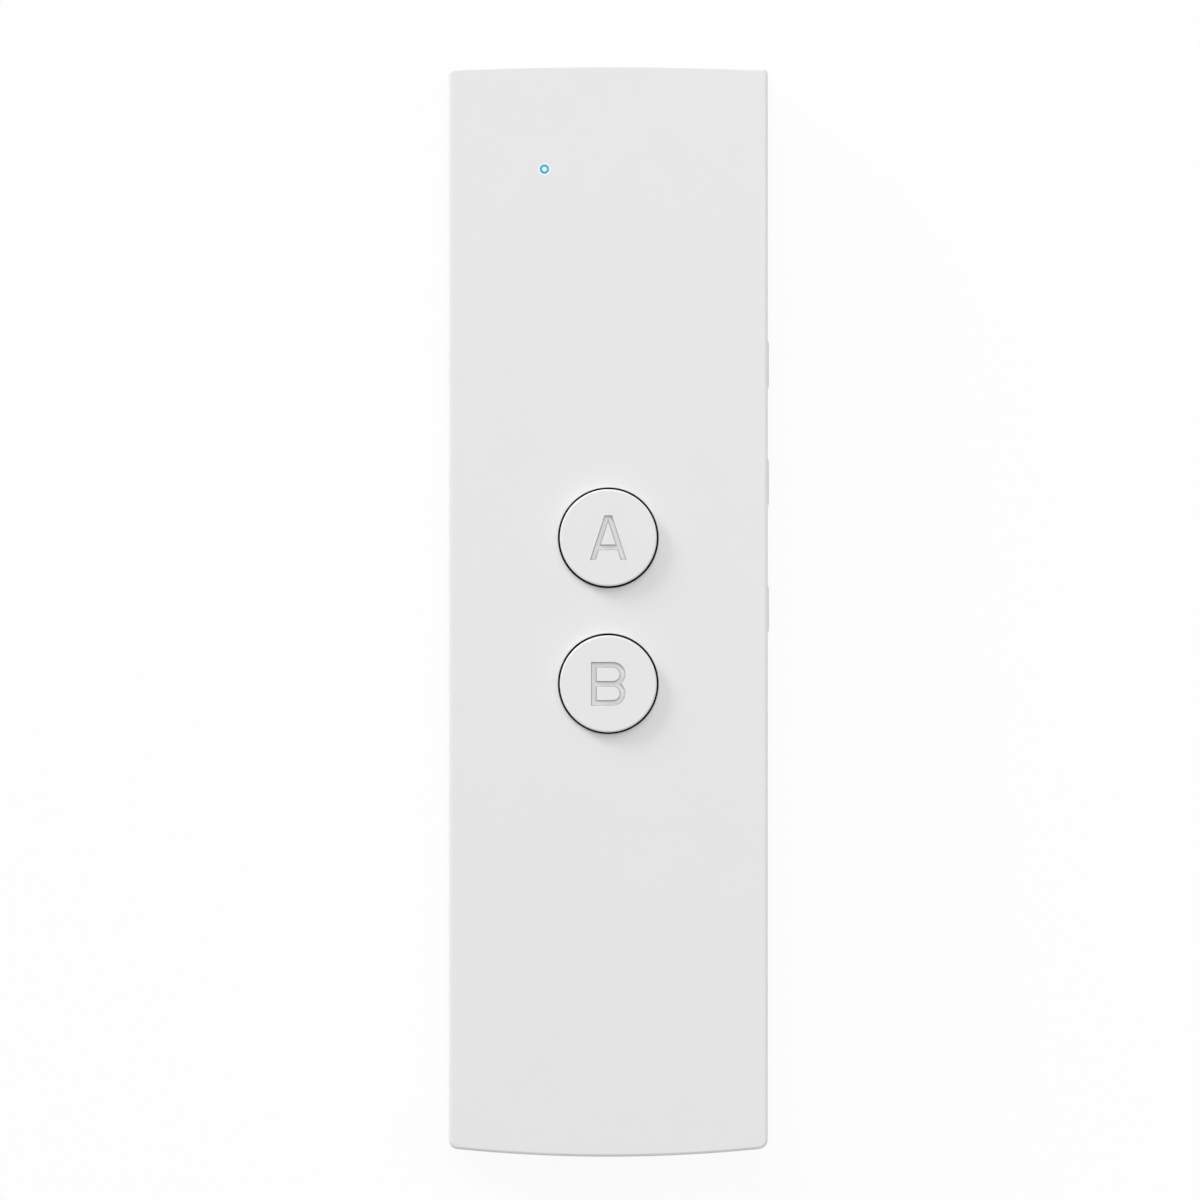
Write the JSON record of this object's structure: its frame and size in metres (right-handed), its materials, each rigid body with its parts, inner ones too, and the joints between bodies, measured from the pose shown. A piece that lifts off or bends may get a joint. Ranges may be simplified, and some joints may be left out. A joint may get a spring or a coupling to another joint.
{
  "type": "handheld translator",
  "caption": "Slim handheld voice translator with round front buttons, side keys, a status lamp, a charging port and a rear speaker grille.",
  "frame": {"origin": "middle of the flat rear face, which lies on the table", "axes": "+Z out of the front face, +Y towards the status lamp end, +X towards the side keys"},
  "size_m": [0.0411, 0.14, 0.0122],
  "materials": {
    "case_white": "fine matte",
    "key_white": "satin",
    "clear_plastic": "clear",
    "lamp_blue": "lit",
    "dark_cloth": "woven",
    "foam": "foam",
    "cone_film": "satin",
    "copper": "enamelled",
    "black_plastic": "moulded",
    "steel": "satin",
    "brass": "gold flash",
    "red_wire": "satin",
    "black_wire": "satin",
    "green_board": "solder mask",
    "battery_foil": "laminate",
    "ivory_plastic": "moulded",
    "black_rubber": "matte",
    "ceramic_white": "matte",
    "ceramic_tan": "matte"
  },
  "bodies": {
    "case": {"amplifier_chip": "black_plastic", "antenna": "ceramic_white", "battery_cell": "battery_foil", "battery_foam_pad": "foam", "battery_guard_board": "green_board", "battery_plug": "ivory_plastic", "battery_socket": "ivory_plastic", "battery_tabs": "steel", "battery_wire_black": "black_wire", "battery_wire_red": "red_wire", "board_screws": "steel", "button_a_switch_base": "black_plastic", "button_a_switch_cover": "steel", "button_b_switch_base": "black_plastic", "button_b_switch_cover": "steel", "capacitors": "ceramic_tan", "charging_chip": "black_plastic", "charging_socket_contacts": "brass", "charging_socket_shell": "steel", "charging_socket_tongue": "black_plastic", "clock_crystal": "steel", "front_housing": "case_white", "lamp_light_pipe": "clear_plastic", "main_board": "green_board", "memory_chip": "black_plastic", "microphone": "steel", "microphone_boot": "black_rubber", "power_coil": "black_plastic", "power_key_switch_base": "black_plastic", "power_key_switch_cover": "steel", "processor": "black_plastic", "rear_housing": "case_white", "resistors": "black_plastic", "solder_joints": "steel", "speaker_coil": "copper", "speaker_cone": "cone_film", "speaker_frame": "black_plastic", "speaker_gasket": "foam", "speaker_magnet": "steel", "speaker_mesh": "dark_cloth", "speaker_terminals": "brass", "speaker_wire_black": "black_wire", "speaker_wire_red": "red_wire", "status_lamp": "lamp_blue", "volume_down_key_switch_base": "black_plastic", "volume_down_key_switch_cover": "steel", "volume_up_key_switch_base": "black_plastic", "volume_up_key_switch_cover": "steel", "wireless_module": "green_board", "wireless_shield": "steel"},
    "button_a": {"button_a": "key_white", "button_a_switch_plunger": "black_plastic"},
    "button_b": {"button_b": "key_white", "button_b_switch_plunger": "black_plastic"},
    "power_key": {"power_key": "key_white", "power_key_switch_plunger": "black_plastic"},
    "volume_up_key": {"volume_up_key": "key_white", "volume_up_key_switch_plunger": "black_plastic"},
    "volume_down_key": {"volume_down_key": "key_white", "volume_down_key_switch_plunger": "black_plastic"}
  },
  "joints": [
    {"name": "button_a_press", "type": "slide", "parent": "case", "child": "button_a", "axis": [0, 0, -1], "range_m": [0, 0.00035], "stiffness_N_per_m": 3000},
    {"name": "button_b_press", "type": "slide", "parent": "case", "child": "button_b", "axis": [0, 0, -1], "range_m": [0, 0.00035], "stiffness_N_per_m": 3000},
    {"name": "power_key_press", "type": "slide", "parent": "case", "child": "power_key", "axis": [-1, 0, 0], "range_m": [0, 0.0002], "stiffness_N_per_m": 5000},
    {"name": "volume_up_key_press", "type": "slide", "parent": "case", "child": "volume_up_key", "axis": [-1, 0, 0], "range_m": [0, 0.0002], "stiffness_N_per_m": 5000},
    {"name": "volume_down_key_press", "type": "slide", "parent": "case", "child": "volume_down_key", "axis": [-1, 0, 0], "range_m": [0, 0.0002], "stiffness_N_per_m": 5000}
  ]
}
